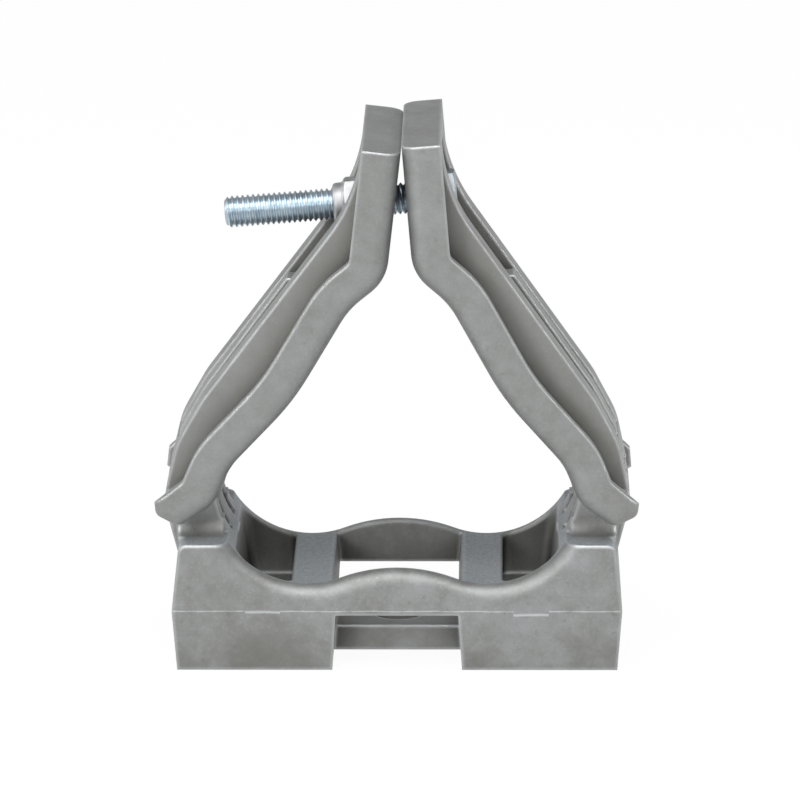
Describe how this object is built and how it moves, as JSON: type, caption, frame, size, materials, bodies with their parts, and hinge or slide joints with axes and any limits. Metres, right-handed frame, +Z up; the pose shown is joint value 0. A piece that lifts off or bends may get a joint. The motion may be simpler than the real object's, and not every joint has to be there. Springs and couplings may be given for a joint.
{
  "type": "cable cleat",
  "caption": "Trefoil cable cleat: ribbed cast arms hinged on a saddle base close over three cables and are held at the top by a hex bolt and nut",
  "frame": {"origin": "centre of the overall footprint, on the plane the feet stand on", "axes": "+X across the cleat from the left arm to the right arm, +Y along the cables from front to rear, +Z up through the closure"},
  "size_m": [0.1457, 0.056, 0.1638],
  "materials": {
    "casting": "matt blasted die casting",
    "pin_steel": "plain drawn steel",
    "zinc_steel": "bright zinc plating"
  },
  "bodies": {
    "base": {"base": "casting", "left_hinge_pin": "pin_steel", "right_hinge_pin": "pin_steel"},
    "left_arm": {"left_arm": "casting"},
    "right_arm": {"right_arm": "casting", "closure_bolt": "zinc_steel"},
    "nut": {"closure_nut": "zinc_steel"}
  },
  "joints": [
    {"name": "left_hinge", "type": "hinge", "parent": "base", "child": "left_arm", "pos_m": [-0.062, 0, 0.049], "axis": [0, -1, 0], "range_deg": [0, 8]},
    {"name": "right_hinge", "type": "hinge", "parent": "base", "child": "right_arm", "pos_m": [0.062, 0, 0.049], "axis": [0, 1, 0], "range_deg": [0, 8]},
    {"name": "nut_travel", "type": "slide", "parent": "right_arm", "child": "nut", "axis": [-0.9967, 0, -0.0811], "range_m": [0, 0.0268]}
  ],
  "couplings": [
    {"joint": "left_hinge", "follows": "right_hinge", "ratio": 1},
    {"joint": "nut_travel", "follows": "right_hinge", "m_per_rad": 0.19}
  ]
}
